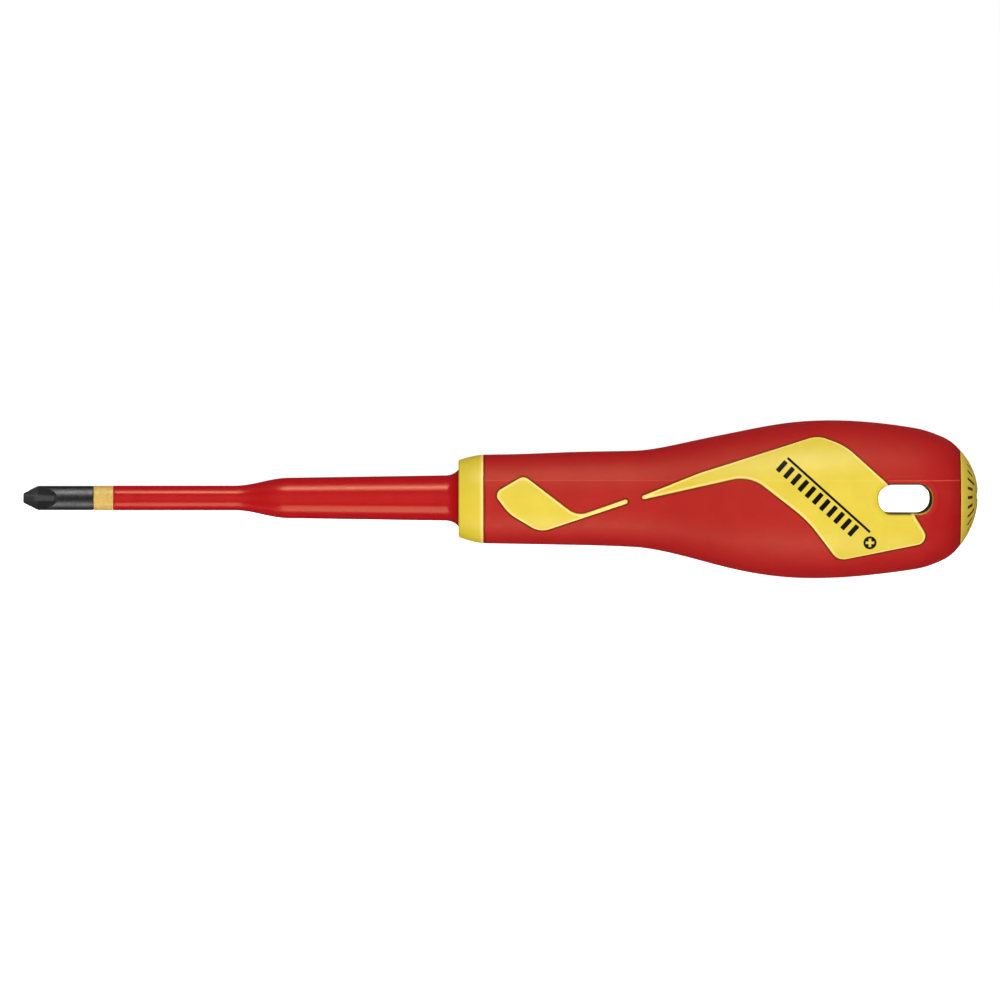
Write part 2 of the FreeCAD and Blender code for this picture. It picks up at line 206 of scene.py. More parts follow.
# Fineness of the meshes
ROUND_STEPS = 144             # round the turned pieces
SKIN_STEP = 0.75              # between grid lines on the handle
HALF_TURN_STEPS = 72
GRID_CLEARANCE = 0.85         # between the grid and the outlines on the handle
CAP_GRID, MARK_GRID = 0.5, 0.35
DOMAIN_RADIUS = 16.0          # scale of the angle when the skin is laid out flat


# --- Curves -------------------------------------------------------------------------------------


class Spline:
    """A smooth curve through points, straight at its two ends."""

    def __init__(self, knots):
        self.x, self.y = np.array(knots, float).T
        gap = np.diff(self.x)
        slope = np.diff(self.y) / gap
        size = len(self.x)
        matrix = np.eye(size)
        right = np.zeros(size)
        for i in range(1, size - 1):
            matrix[i, i - 1 : i + 2] = gap[i - 1], 2 * (gap[i - 1] + gap[i]), gap[i]
            right[i] = 6 * (slope[i] - slope[i - 1])
        self.bend = np.linalg.solve(matrix, right)

    def __call__(self, x):
        x = np.asarray(x, float)
        i = np.clip(np.searchsorted(self.x, x) - 1, 0, len(self.x) - 2)
        gap = self.x[i + 1] - self.x[i]
        before, after = x - self.x[i], self.x[i + 1] - x
        line = (self.y[i] * after + self.y[i + 1] * before) / gap
        curl = self.bend[i] * (after**3 / gap - after * gap)
        return line + (curl + self.bend[i + 1] * (before**3 / gap - before * gap)) / 6


def arc(start, middle, end, count):
    """Points from start to end on the circle through three points."""
    a, b, c = complex(*start), complex(*middle), complex(*end)
    w = (c - a) / (b - a)
    centre = (b - a) * (w - abs(w) ** 2) / (2j * w.imag) + a
    turn = np.angle((c - centre) / (a - centre))
    turns = centre + (a - centre) * np.exp(1j * turn * np.linspace(0, 1, count + 1))
    return [(t.real, t.imag) for t in turns]


def ease(start, end, share, count):
    """Points on a smooth step that leaves and arrives level."""
    lead = (end[0] - start[0]) * share
    poles = np.array([start, (start[0] + lead, start[1]), (end[0] - lead, end[1]), end])
    t = np.linspace(0, 1, count + 1)[:, None]
    weights = np.hstack([(1 - t) ** 3, 3 * t * (1 - t) ** 2, 3 * t**2 * (1 - t), t**3])
    return [tuple(p) for p in weights @ poles]


def rounded(corners, steps, closed=True):
    """Corners given as a, b and radius, joined by straight sides, with arcs at the corners."""
    path = []
    for i, (a, b, radius) in enumerate(corners):
        corner = np.array((a, b), float)
        if radius == 0 or (not closed and i in (0, len(corners) - 1)):
            path.append(corner)
            continue
        back = np.array(corners[i - 1][:2]) - corner
        ahead = np.array(corners[(i + 1) % len(corners)][:2]) - corner
        back, ahead = back / np.linalg.norm(back), ahead / np.linalg.norm(ahead)
        half = math.acos(np.clip(back @ ahead, -1, 1)) / 2
        to_centre = (back + ahead) / np.linalg.norm(back + ahead)
        middle = corner + to_centre * (radius / math.sin(half) - radius)
        setback = radius / math.tan(half)
        path += arc(corner + back * setback, middle, corner + ahead * setback, steps)
    return np.array([tuple(p) for p in path])


def resampled(loop, step):
    """A closed loop of evenly spaced points, which keeps the shape of the one it follows."""
    closed = np.vstack([loop, loop[:1]])
    lengths = np.r_[0, np.cumsum(np.linalg.norm(np.diff(closed, axis=0), axis=1))]
    count = max(8, round(lengths[-1] / step))
    at = np.linspace(0, lengths[-1], count, endpoint=False)
    return np.column_stack([np.interp(at, lengths, closed[:, k]) for k in range(2)])


def slot_outline(growth=0.0):
    """The hanging slot from the side, or a larger outline round it."""
    a, b, corner = SLOT_LENGTH / 2 + growth, SLOT_HEIGHT / 2 + growth, SLOT_CORNER + growth
    corners = [(SLOT_CENTRE + x * a, z * b, corner) for x, z in ((-1, -1), (1, -1), (1, 1), (-1, 1))]
    return rounded(corners, 24)


def rectangle(centre, length, width, tilt, radius=0.12):
    """A rounded rectangle, its length turned from the first axis by tilt degrees."""
    a, b = length / 2, width / 2
    corners = [(-a, -b, radius), (a, -b, radius), (a, b, radius), (-a, b, radius)]
    turn = np.exp(1j * math.radians(tilt))
    points = rounded(corners, 4) @ np.array([1, 1j]) * turn + complex(*centre)
    return np.column_stack([points.real, points.imag])


# --- Surfaces -----------------------------------------------------------------------------------

skin = Spline(SKIN)
sway = Spline(SWAY)


def settled(loop):
    """A side outline as it lies on a handle without sway."""
    return loop - np.column_stack([np.zeros(len(loop)), sway(loop[:, 0])])


def swayed(piece):
    """A piece of the handle, moved to the handle's own middle."""
    points = np.empty(len(piece.data.vertices) * 3)
    piece.data.vertices.foreach_get("co", points)
    points[2::3] += sway(points[0::3] / MM) * MM
    piece.data.vertices.foreach_set("co", points)
    piece.data.update()
    return piece


def on_skin(x, turn, depth=0.0):
    """Points at a depth under the handle's skin, turned from the near side towards the top."""
    radius = skin(x) - depth
    return np.column_stack([x, -radius * np.cos(turn), radius * np.sin(turn)])


def skin_normal(x, turn):
    slope = (skin(x + 0.01) - skin(x - 0.01)) / 0.02
    normal = np.column_stack([-slope, -np.cos(turn), np.sin(turn)])
    return normal / np.linalg.norm(normal, axis=1)[:, None]


def flat_from_side(loop):
    """The side view's x and z, laid out flat as x and scaled turn."""
    loop = settled(loop)
    turn = np.arcsin(loop[:, 1] / skin(loop[:, 0]))
    return np.column_stack([loop[:, 0], turn * DOMAIN_RADIUS])


def skin_from_flat(flat, depth=0.0):
    return on_skin(flat[:, 0], flat[:, 1] / DOMAIN_RADIUS, depth)


def half_turn(points):
    return points * np.array([1, -1, -1])


def skin_ring(flat_loop, offset):
    """A loop on the skin moved outwards along the surface, or inwards if offset is negative."""
    here = skin_from_flat(flat_loop)
    along = np.roll(here, -1, axis=0) - np.roll(here, 1, axis=0)
    sideways = np.cross(skin_normal(flat_loop[:, 0], flat_loop[:, 1] / DOMAIN_RADIUS), along)
    sideways /= np.linalg.norm(sideways, axis=1)[:, None]
    area = np.sum(flat_loop[:, 0] * np.roll(flat_loop[:, 1], -1))
    area -= np.sum(flat_loop[:, 1] * np.roll(flat_loop[:, 0], -1))
    moved = here - sideways * offset * np.sign(area)
    turn = np.arctan2(moved[:, 2], -moved[:, 1])
    return np.column_stack([moved[:, 0], turn * DOMAIN_RADIUS])


def distance(points, loop):
    """The distance of each point in space from a closed loop in space."""
    ahead = np.roll(loop, -1, axis=0) - loop
    length2 = np.maximum((ahead**2).sum(1), 1e-12)
    nearest = np.empty(len(points))
    for start in range(0, len(points), 2000):
        part = points[start : start + 2000, None] - loop[None]
        share = np.clip((part * ahead).sum(2) / length2, 0, 1)
        gaps = part - share[:, :, None] * ahead
        nearest[start : start + 2000] = np.sqrt((gaps**2).sum(2).min(1))
    return nearest


def within(points, loop):
    """Whether each flat point lies inside a closed flat loop."""
    inside = np.zeros(len(points), bool)
    for (x0, y0), (x1, y1) in zip(loop, np.roll(loop, -1, axis=0)):
        if y0 == y1:
            continue
        level = (points[:, 1] >= min(y0, y1)) & (points[:, 1] < max(y0, y1))
        crossing = x0 + (points[:, 1] - y0) * (x1 - x0) / (y1 - y0)
        inside ^= level & (points[:, 0] < crossing)
    return inside


def edge_drop(gap, radius):
    """How far a rounded edge falls away at a distance from it."""
    return radius - np.sqrt(np.maximum(radius**2 - np.maximum(radius - gap, 0) ** 2, 0))


# --- Meshes -------------------------------------------------------------------------------------


def thinned(groups, gap):
    """Flat points from several groups, without those closer than gap to an earlier one."""
    kept, cells = [], {}
    for group in groups:
        for point in group:
            cell = (int(point[0] // gap), int(point[1] // gap))
            near = [
                other
                for i in (-1, 0, 1)
                for j in (-1, 0, 1)
                for other in cells.get((cell[0] + i, cell[1] + j), ())
            ]
            if all(abs(point[0] - o[0]) + abs(point[1] - o[1]) > gap for o in near):
                cells.setdefault(cell, []).append(point)
                kept.append(point)
    return kept


def triangulated(loops, points, gap=0.02):
    """Triangles over flat points, in which every closed loop stays whole."""
    corners, edges = [], []
    for loop in loops:
        first = len(corners)
        corners += [tuple(p) for p in loop]
        edges += [(first + i, first + (i + 1) % len(loop)) for i in range(len(loop))]
    cells = [np.array(corners)] + [np.asarray(p) for p in points if len(p)]
    extra = thinned(cells, gap)[len(thinned(cells[:1], gap)) :]
    corners += [tuple(p) for p in extra]
    flat, _, faces, *_ = delaunay_2d_cdt([Vector(c) for c in corners], edges, [], 0, 1e-5, False)
    return np.array([tuple(v) for v in flat]), np.array([f for f in faces if len(f) == 3])


def build(name, points, faces, sharp=38.0, quads=True, shade=None):
    """A closed piece in metres from points in millimetres, smooth except at sharp angles.

    Shade is a value at each point: above 0 the material turns lighter, below 0 darker."""
    mesh = bpy.data.meshes.new(name)
    mesh.from_pydata((np.asarray(points) * MM).tolist(), [], [list(map(int, f)) for f in faces])
    shape = bmesh.new()
    shape.from_mesh(mesh)
    layer = shape.verts.layers.float.new("shade")
    for vertex, value in zip(shape.verts, np.zeros(len(points)) if shade is None else shade):
        vertex[layer] = value
    bmesh.ops.remove_doubles(shape, verts=shape.verts, dist=1e-7)
    bmesh.ops.dissolve_degenerate(shape, edges=shape.edges, dist=1e-7)
    if quads:
        bmesh.ops.join_triangles(
            shape, faces=shape.faces, angle_face_threshold=0.25, angle_shape_threshold=0.7
        )
    bmesh.ops.recalc_face_normals(shape, faces=shape.faces)
    for face in shape.faces:
        face.smooth = True
    for edge in shape.edges:
        if len(edge.link_faces) == 2:
            edge.smooth = edge.calc_face_angle(0) < math.radians(sharp)
    shape.to_mesh(mesh)
    shape.free()
    piece = bpy.data.objects.new(name, mesh)
    bpy.context.scene.collection.objects.link(piece)
    return piece


def slab(name, outer, inner, triangles, shade=None):
    """A closed sheet between two surfaces that share their triangles."""
    _, first, back = np.unique(
        np.round(outer, 4), axis=0, return_index=True, return_inverse=True
    )
    outer, inner, triangles = outer[first], inner[first], back.reshape(-1)[triangles]
    shade = np.zeros(len(outer)) if shade is None else shade[first]
    used = {}
    for face in triangles:
        for a, b in zip(face, np.roll(face, -1)):
            used[(a, b)] = used.get((a, b), 0) + 1
    rim = [(a, b) for a, b in used if (b, a) not in used]
    shift = len(outer)
    faces = [tuple(f) for f in triangles]
    faces += [tuple(f[::-1] + shift) for f in triangles]
    faces += [(b, a, a + shift, b + shift) for a, b in rim]
    return build(name, np.vstack([outer, inner]), faces, shade=np.r_[shade, shade])


def turned(name, profile, steps=ROUND_STEPS, closed=True, shade=None):
    """A piece turned about the tool's axis. A profile that isn't closed starts and ends on it."""
    turns = np.linspace(0, 2 * math.pi, steps, endpoint=False)
    profile = np.asarray(profile, float)
    rings = [np.column_stack([np.full(steps, x), r * np.cos(turns), r * np.sin(turns)]) for x, r in profile]
    count = len(profile)
    faces = []
    for i in range(count if closed else count - 1):
        a, b = i * steps, (i + 1) % count * steps
        for j in range(steps):
            k = (j + 1) % steps
            faces.append((a + j, a + k, b + k, b + j))
    values = None if shade is None else np.repeat(shade(profile), steps)
    return build(name, np.vstack(rings), faces, quads=False, shade=values)


# --- Handle -------------------------------------------------------------------------------------


def grid_lines():
    """Stations along the skin, evenly spaced on its surface and close together at its two ends."""
    x = np.linspace(GRIP_START, GRIP_END, 2000)
    run = np.r_[0, np.cumsum(np.hypot(np.diff(x), np.diff(skin(x))))]
    count = round(run[-1] / SKIN_STEP)
    at = np.linspace(0, run[-1], count + 1)
    ends = END_EDGE * np.array([0.06, 0.22, 0.5, 1.0, 1.9])
    at = np.unique(np.r_[at[(at < 1e-9) | (at > 0.6)], ends])
    at = np.unique(np.r_[at[(at > run[-1] - 1e-9) | (at < run[-1] - 0.6)], run[-1] - ends])
    return np.interp(at, run, x)


def end_gap(x):
    """The distance of a station from the nearer end of the grip, along the skin."""
    lean = np.hypot(1, (skin(GRIP_END) - skin(GRIP_END - 0.3)) / 0.3)
    return np.minimum(x - GRIP_START, (GRIP_END - x) * lean)


def fading(gap, full, none):
    """1 up to the gap full, falling to 0 at the gap none."""
    return np.clip((none - gap) / (none - full), 0, 1)


class HandleSkin:
    """The near half of the handle's skin, laid out flat and cut along its outlines."""

    def __init__(self):
        self.slot_side = resampled(slot_outline(), 0.3)
        sides = {
            "inlay": resampled(rounded(INLAY_WINDOW, 24), 0.3),
            "panel": resampled(rounded(PANEL_WINDOW, 24), 0.3),
            "slot": self.slot_side,
        }
        self.loops = {name: flat_from_side(side) for name, side in sides.items()}
        self.loops_in_space = {name: skin_from_flat(loop) for name, loop in self.loops.items()}
        limit = math.pi / 2 * DOMAIN_RADIUS
        stations = grid_lines()
        turns = np.linspace(-limit, limit, HALF_TURN_STEPS + 1)
        across = [(x, -limit) for x in stations] + [(GRIP_END, w) for w in turns[1:]]
        across += [(x, limit) for x in stations[-2::-1]] + [(GRIP_START, w) for w in turns[-2:0:-1]]
        grid = np.array([(x, w) for x in stations[1:-1] for w in turns[1:-1]])
        grid = grid[(self.nearest(grid) > GRID_CLEARANCE) & (np.abs(self.above_mould_line(grid)) > 0.3)]
        rim = skin_ring(self.loops["slot"], SLOT_RIM)
        self.flat, self.faces = triangulated(
            [np.array(across), *self.loops.values(), rim],
            self.rings() + [self.mould_line(stations), grid],
        )
        middles = self.flat[self.faces].mean(1)
        inside = {name: within(middles, loop) for name, loop in self.loops.items()}
        in_rim = within(middles, rim) & ~inside["slot"]
        self.regions = {
            "inlay": inside["inlay"],
            "panel": inside["panel"] & ~inside["slot"] & ~in_rim,
            "rim": in_rim,
            "grip": ~(inside["slot"] | inside["panel"] | inside["inlay"] | in_rim),
        }
        space = skin_from_flat(self.flat)
        self.gaps = {name: distance(space, loop) for name, loop in self.loops_in_space.items()}

    def nearest(self, flat):
        space = skin_from_flat(flat)
        return np.min([distance(space, loop) for loop in self.loops_in_space.values()], axis=0)

    def above_mould_line(self, flat):
        return skin_from_flat(flat)[:, 2] + sway(flat[:, 0]) - MOULD_LINE_LEVEL

    def mould_line(self, stations):
        x = np.interp(np.arange(0, len(stations) - 1, 0.5)[1:], range(len(stations)), stations)
        lines = []
        for share in (-1.0, -0.4, 0.0, 0.4, 1.0):
            level = np.full(len(x), MOULD_LINE_LEVEL + share * MOULD_LINE_HALF_WIDTH)
            lines.append(flat_from_side(np.column_stack([x, level])))
        return np.vstack(lines)

    def rings(self):
        """Points on lines beside each outline, close together where the edges are rounded."""
        groups = []
        bead = SLOT_BEAD_GAP + np.array([-0.4, -0.2, 0.0, 0.2, 0.4])
        beside_window = (
            np.append(RED_EDGE * np.array([0.12, 0.45, 1.0]), SEAM_PAINTED_SHADE),
            -np.append(YELLOW_EDGE * np.array([0.05, 0.2, 0.5, 1.0]), EDGE_PAINTED_HIGHLIGHT),
        )
        plans = (
            ("slot", SLOT_LIP * np.array([0.02, 0.09, 0.2, 0.42, 0.6, 0.8])),
            ("slot", bead),
            *((name, offsets) for name in ("inlay", "panel") for offsets in beside_window),
        )
        for name, offsets in plans:
            for offset in offsets:
                ring = skin_ring(self.loops[name], offset)
                own = distance(skin_from_flat(ring), self.loops_in_space[name])
                groups.append(ring[own > abs(offset) * 0.97])
        return groups

    def window_gap(self):
        return np.minimum(self.gaps["inlay"], self.gaps["panel"])

    def depth(self, edge):
        """How far the skin lies under its smooth shape, with its rounded edges and raised lines."""
        drop = edge_drop(self.gaps["slot"], SLOT_LIP) + edge_drop(self.window_gap(), edge)
        bead = fading(np.abs(self.gaps["slot"] - SLOT_BEAD_GAP), 0.0, 0.42)
        line = fading(np.abs(self.above_mould_line(self.flat)), 0.0, MOULD_LINE_HALF_WIDTH)
        line *= np.interp(self.flat[:, 0], *MOULD_LINE_RISE)
        raised = SLOT_BEAD_HEIGHT * bead**2 * (3 - 2 * bead) + MOULD_LINE_HEIGHT * line
        return drop + edge_drop(end_gap(self.flat[:, 0]), END_EDGE) - raised

    def surfaces(self, edge, wall):
        """The outside of the near half and the inside under it, which is straight at the slot."""
        outer = skin_from_flat(self.flat, self.depth(edge))
        inner = skin_from_flat(self.flat, wall)
        beside_slot = self.gaps["slot"] < SLOT_RIM + 1e-3
        inner[beside_slot] = outer[beside_slot] + (0, SLOT_SKIN_WALL, 0)
        return outer, inner

    def painted_mould_line_highlight(self):
        """Where the painted highlight on the mould line shows, most of all between the slot and the butt.
        """
        line = fading(np.abs(self.above_mould_line(self.flat)), 0.05, MOULD_LINE_HALF_WIDTH)
        return line * np.interp(self.flat[:, 0], *MOULD_LINE_PAINTED_HIGHLIGHT)

    def grip_shade(self):
        # Painted shade in the seams by the windows and at the grip's ends, and a painted highlight on the
        # mould line
        seam = np.minimum(self.window_gap(), np.maximum(end_gap(self.flat[:, 0]), 0))
        dark = fading(seam, *SEAM_PAINTED_SHADE)
        return np.where(dark > 0, -dark, 0.8 * self.painted_mould_line_highlight())

    def window_shade(self):
        """Painted cream highlight along the windows' edges, painted brown shade under the slot and on its
        rim in the red.
        """
        height = self.above_mould_line(self.flat) + MOULD_LINE_LEVEL
        # Painted highlight: cream by the windows' edges, and half as strong on the mould line
        shade = np.maximum(fading(self.window_gap(), *EDGE_PAINTED_HIGHLIGHT), 0.5 * self.painted_mould_line_highlight())
        # Painted shade: brown on the lip under the slot
        shade -= LIP_PAINTED_SHADE * fading(self.gaps["slot"], *LIP_GAPS) * fading(height, *LIP_HEIGHTS)
        in_red = ~within(self.flat, self.loops["panel"])
        # Painted shade on the rim in the red, stronger at the top
        rim = -RIM_PAINTED_SHADE - (RIM_TOP_PAINTED_SHADE - RIM_PAINTED_SHADE) * fading(-height, *RIM_HEIGHTS)
        return np.where(in_red & (self.gaps["slot"] < SLOT_RIM + 1e-3), rim, shade)


def make_grip(handle):
    outer, inner = handle.surfaces(RED_EDGE, GRIP_WALL)
    faces = handle.faces[handle.regions["grip"]]
    return slab(
        "soft_grip_moulding",
        np.vstack([outer, half_turn(outer)]),
        np.vstack([inner, half_turn(inner)]),
        np.vstack([faces, faces + len(outer)]),
        np.tile(handle.grip_shade(), 2),
    )


def make_windows(handle):
    """What shows of the yellow body on the skin: an inlay, a panel and the slot's rim on each side."""
    outer, inner = handle.surfaces(YELLOW_EDGE, GRIP_WALL)
    shade = handle.window_shade()
    pieces = []
    for region in ("inlay", "panel", "rim"):
        used, faces = np.unique(handle.faces[handle.regions[region]], return_inverse=True)
        faces = faces.reshape(-1, 3)
        for side, place in (("near", np.array), ("far", half_turn)):
            name = f"{region}_{side}"
            pieces.append(slab(name, place(outer[used]), place(inner[used]), faces, shade[used]))
    return pieces


def make_lining(handle):
    """The yellow wall of the hanging slot, between the skins of the two sides."""
    side, outside = resampled(handle.slot_side, 0.5), resampled(slot_outline(LINING_WALL), 0.4)
    outside = outside[[np.argmin(((outside - p) ** 2).sum(1)) for p in side]]
    start = skin_from_flat(flat_from_side(side), SLOT_LIP)[:, 1] + SLOT_SKIN_WALL
    side, outside = settled(side), settled(outside)
    shares = np.linspace(-1, 1, 13)
    rings = [(side, -start * s) for s in shares] + [(outside, -start * s) for s in shares[::-1]]
    points = np.vstack([np.column_stack([loop[:, 0], y, loop[:, 1]]) for loop, y in rings])
    depth, height = np.abs(points[:, 1]), np.abs(points[:, 2])
    # Painted shade: brown deep inside the slot, and on its floor as far as the mouth
    floor = fading(-height, *FLOOR_HEIGHTS) * (points[:, 1] * points[:, 2] > 0)
    shade = -np.maximum(fading(depth, *DEEP_PAINTED_SHADE), floor * fading(depth, *FLOOR_PAINTED_SHADE))
    count, size = len(rings), len(side)
    faces = []
    for i in range(count):
        a, b = i * size, (i + 1) % count * size
        faces += [(a + j, a + (j + 1) % size, b + (j + 1) % size, b + j) for j in range(size)]
    return build("slot_lining", points, faces, quads=False, shade=shade)


def make_collar():
    face, end = BLADE_LENGTH, GRIP_START
    top, edge = skin(GRIP_START) - 0.01, END_EDGE
    outline = [(face, COLLAR_BORE), (face, 8.3)]
    outline += arc((face, 8.45), (face + 0.16, 8.86), (face + 0.55, 9.02), 6)
    outline += arc((face + 0.55, 9.02), COLLAR_SHOULDER, (end - 2 * edge, top - 0.01), 14)[1:]
    outline += arc((end - edge, top), (end - 0.3 * edge, top - 0.3 * edge), (end, top - edge), 4)
    outline += [(end, 7.4), (end, COLLAR_BORE)]

    def shade(profile):
        """Painted cream highlight beside the grip, on the outside only."""
        return fading(end - profile[:, 0], 0.4, 0.8) * (profile[:, 1] > 9)

    return turned("handle_collar", outline, shade=shade)


# --- Blade and insulation -----------------------------------------------------------------------


def flat_half_thickness(x):
    """Half the thickness of the upright blade, which runs out along an arc."""
    if x <= FLAT_LENGTH:
        return FLAT_HALF_THICKNESS
    if x >= RUNOUT_END:
        return HEAD_RADIUS
    path = arc((FLAT_LENGTH, FLAT_HALF_THICKNESS), RUNOUT_MIDDLE, (RUNOUT_END, HEAD_RADIUS), 60)
    return float(np.interp(x, *np.array(path).T))


def tip_quarter(radius, half):
    """A quarter of the head's section, from the wing's end round to the top."""
    half = min(half, radius)
    top = math.sqrt(max(radius**2 - half**2, 0))
    wing = min(WING_HALF_THICKNESS, top)

    def reach(z):
        return max(min(WING_REACH, math.sqrt(max(radius**2 - z**2, 0))), half)

    points = [(reach(z), z) for z in np.linspace(0, wing, 6)]
    points += [(y, wing) for y in np.linspace(reach(wing), half, 6)[1:]]
    points += [(half, z) for z in np.linspace(wing, top, 9)[1:]]
    turns = np.linspace(math.atan2(top, half), math.pi / 2, 19)[1:]
    return points + [(radius * math.cos(t), radius * math.sin(t)) for t in turns]


def steel_stations():
    """Stations along the blade, as x, radius and the upright blade's half thickness."""
    rise = (HEAD_RADIUS - TIP_END_RADIUS) / CONE_LENGTH
    stations = [(0, TIP_END_RADIUS - 0.1), (0.06, TIP_END_RADIUS - 0.03)]
    stations += [(x, TIP_END_RADIUS + rise * x) for x in np.linspace(0.15, CONE_LENGTH - 0.2, 12)]
    stations += [(CONE_LENGTH, HEAD_RADIUS - 0.03), (CONE_LENGTH + 0.2, HEAD_RADIUS)]
    stations += [(x, HEAD_RADIUS) for x in np.linspace(CONE_LENGTH + 0.3, RUNOUT_END, 60)]
    stations += [(x, HEAD_RADIUS) for x in (8.4, 10.0, 12.0, 14.0, 15.7, BAND_START - 0.22)]
    stations += [(BAND_START - 0.06, HEAD_RADIUS - 0.07), (BAND_START, HEAD_RADIUS - 0.2)]
    stations += [(BAND_START, NECK_RADIUS), (NECK_END, NECK_RADIUS), (SHANK_START, SHANK_RADIUS)]
    stations += [(TANG_END - 0.6, SHANK_RADIUS), (TANG_END, SHANK_RADIUS - 0.6)]
    return [(x, radius, flat_half_thickness(x)) for x, radius in stations]


def painted_tip_reflection(points):
    """Painted reflection on the tip's ground faces: lightest on the wing's ends, and then on the flats."""
    x, y, z = np.abs(np.array(points)).T
    half = np.array([flat_half_thickness(station) for station in x])
    on_wing = (x < RUNOUT_END) & (z < WING_HALF_THICKNESS + 1e-4)
    on_flat = (x < RUNOUT_END) & (np.abs(y - half) < 1e-4)
    return np.select([on_wing, on_flat], [0.95, 0.5])


def make_blade():
    rings = []
    for x, radius, half in steel_stations():
        quarter = tip_quarter(radius, half)
        upper = quarter + [(-y, z) for y, z in quarter[-2::-1]]
        section = upper + [(y, -z) for y, z in upper[-2:0:-1]]
        rings.append([(x, y, z) for y, z in section])
    size, count = len(rings[0]), len(rings)
    points = [p for ring in rings for p in ring] + [(0, 0, 0), (TANG_END, 0, 0)]
    faces = []
    for i in range(count - 1):
        a, b = i * size, (i + 1) * size
        faces += [(a + j, a + (j + 1) % size, b + (j + 1) % size, b + j) for j in range(size)]
    front, back, last = count * size, count * size + 1, (count - 1) * size
    faces += [(front, (j + 1) % size, j) for j in range(size)]
    faces += [(back, last + j, last + (j + 1) % size) for j in range(size)]
    # The tip's ground faces take a painted reflection through their shade
    return build("blade_steel", points, faces, sharp=30.0, quads=False, shade=painted_tip_reflection(points))


def front_edge(x, radius):
    """The rounded edge of a layer that starts at x, from its face out to its radius."""
    near = 0.3 * LAYER_EDGE
    start, end = (x, radius - LAYER_EDGE), (x + LAYER_EDGE, radius)
    return arc(start, (x + near, radius - near), end, 4)


def make_inner_layer():
    band = HEAD_RADIUS + BAND_PROUD
    outline = [(BAND_START, NECK_RADIUS), *front_edge(BAND_START, band)]
    outline += [(x, band) for x in np.linspace(BAND_START + 0.4, BAND_END - 0.3, 6)]
    outline += [(BAND_END - 0.06, band), (BAND_END, band - 0.06), (BAND_END, SLIM_BORE)]
    outline += ease((SLIM_END, SLIM_BORE), (SWELL_END, THICK_BORE), SWELL_EASE, 12)
    outline += [(INNER_LAYER_END, THICK_BORE), (INNER_LAYER_END, SHANK_RADIUS)]
    outline += [(SHANK_START, SHANK_RADIUS), (NECK_END, NECK_RADIUS)]
    return turned("yellow_inner_layer", outline)


def make_outer_layer():
    outline = [(BAND_END, SLIM_BORE), *front_edge(BAND_END, SLIM_RADIUS)]
    outline += [(x, SLIM_RADIUS) for x in np.linspace(BAND_END + 1, SLIM_END - 1, 12)]
    outline += ease((SLIM_END, SLIM_RADIUS), (SWELL_END, THICK_RADIUS), SWELL_EASE, 28)
    taper = np.linspace(0, 1, 20)[1:-1, None]
    start, end = np.array((SWELL_END, THICK_RADIUS)), np.array(FLARE_START)
    outline += [tuple(p) for p in start + taper * (end - start)]
    outline += arc(FLARE_START, FLARE_MIDDLE, (BLADE_LENGTH + 0.02, FLARE_RADIUS), 12)
    outline += [(SLEEVE_END, FLARE_RADIUS), (SLEEVE_END, THICK_BORE)]
    outline += ease((SLIM_END, SLIM_BORE), (SWELL_END, THICK_BORE), SWELL_EASE, 12)[::-1]
    return turned("red_outer_layer", outline)


# --- End cap ------------------------------------------------------------------------------------


def on_dome(flat, depth):
    rise = np.sqrt(DOME_SPHERE_RADIUS**2 - (flat**2).sum(1))
    x = TOOL_LENGTH - DOME_SPHERE_RADIUS + rise - depth
    return np.column_stack([x, flat[:, 0], flat[:, 1]])


def circle(radius, count):
    turns = np.linspace(0, 2 * math.pi, count, endpoint=False)
    return np.column_stack([radius * np.cos(turns), radius * np.sin(turns)])


def tick_loops():
    loops = []
    for i in range(TICK_COUNT):
        inner = TICK_INNER if i % TICKS_PER_LONG else TICK_LONG_INNER
        turn = i * 360 / TICK_COUNT + 90
        middle = (inner + TICK_OUTER) / 2
        centre = (middle * math.cos(math.radians(turn)), middle * math.sin(math.radians(turn)))
        loops.append(resampled(rectangle(centre, TICK_OUTER - inner, TICK_WIDTH, turn, 0.15), 0.16))
    return loops


def cross_loop():
    a, b = CROSS_LENGTH / 2, CROSS_WIDTH / 2
    arm = [(a, -b, 0.2), (a, b, 0.2), (b, b, 0.15)]
    turned_arms = []
    for k in range(4):
        turn = 1j**k
        turned_arms += [((complex(y, z) * turn).real, (complex(y, z) * turn).imag, r) for y, z, r in arm]
    return resampled(rounded(turned_arms, 4), 0.2)


def shrunk(loop, gap):
    """A flat loop moved inwards by a gap."""
    along = np.roll(loop, -1, axis=0) - np.roll(loop, 1, axis=0)
    along /= np.linalg.norm(along, axis=1)[:, None]
    return loop + gap * np.column_stack([-along[:, 1], along[:, 0]])


def flat_distance(points, loop):
    lift = [np.column_stack([p, np.zeros(len(p))]) for p in (points, loop)]
    return distance(*lift)


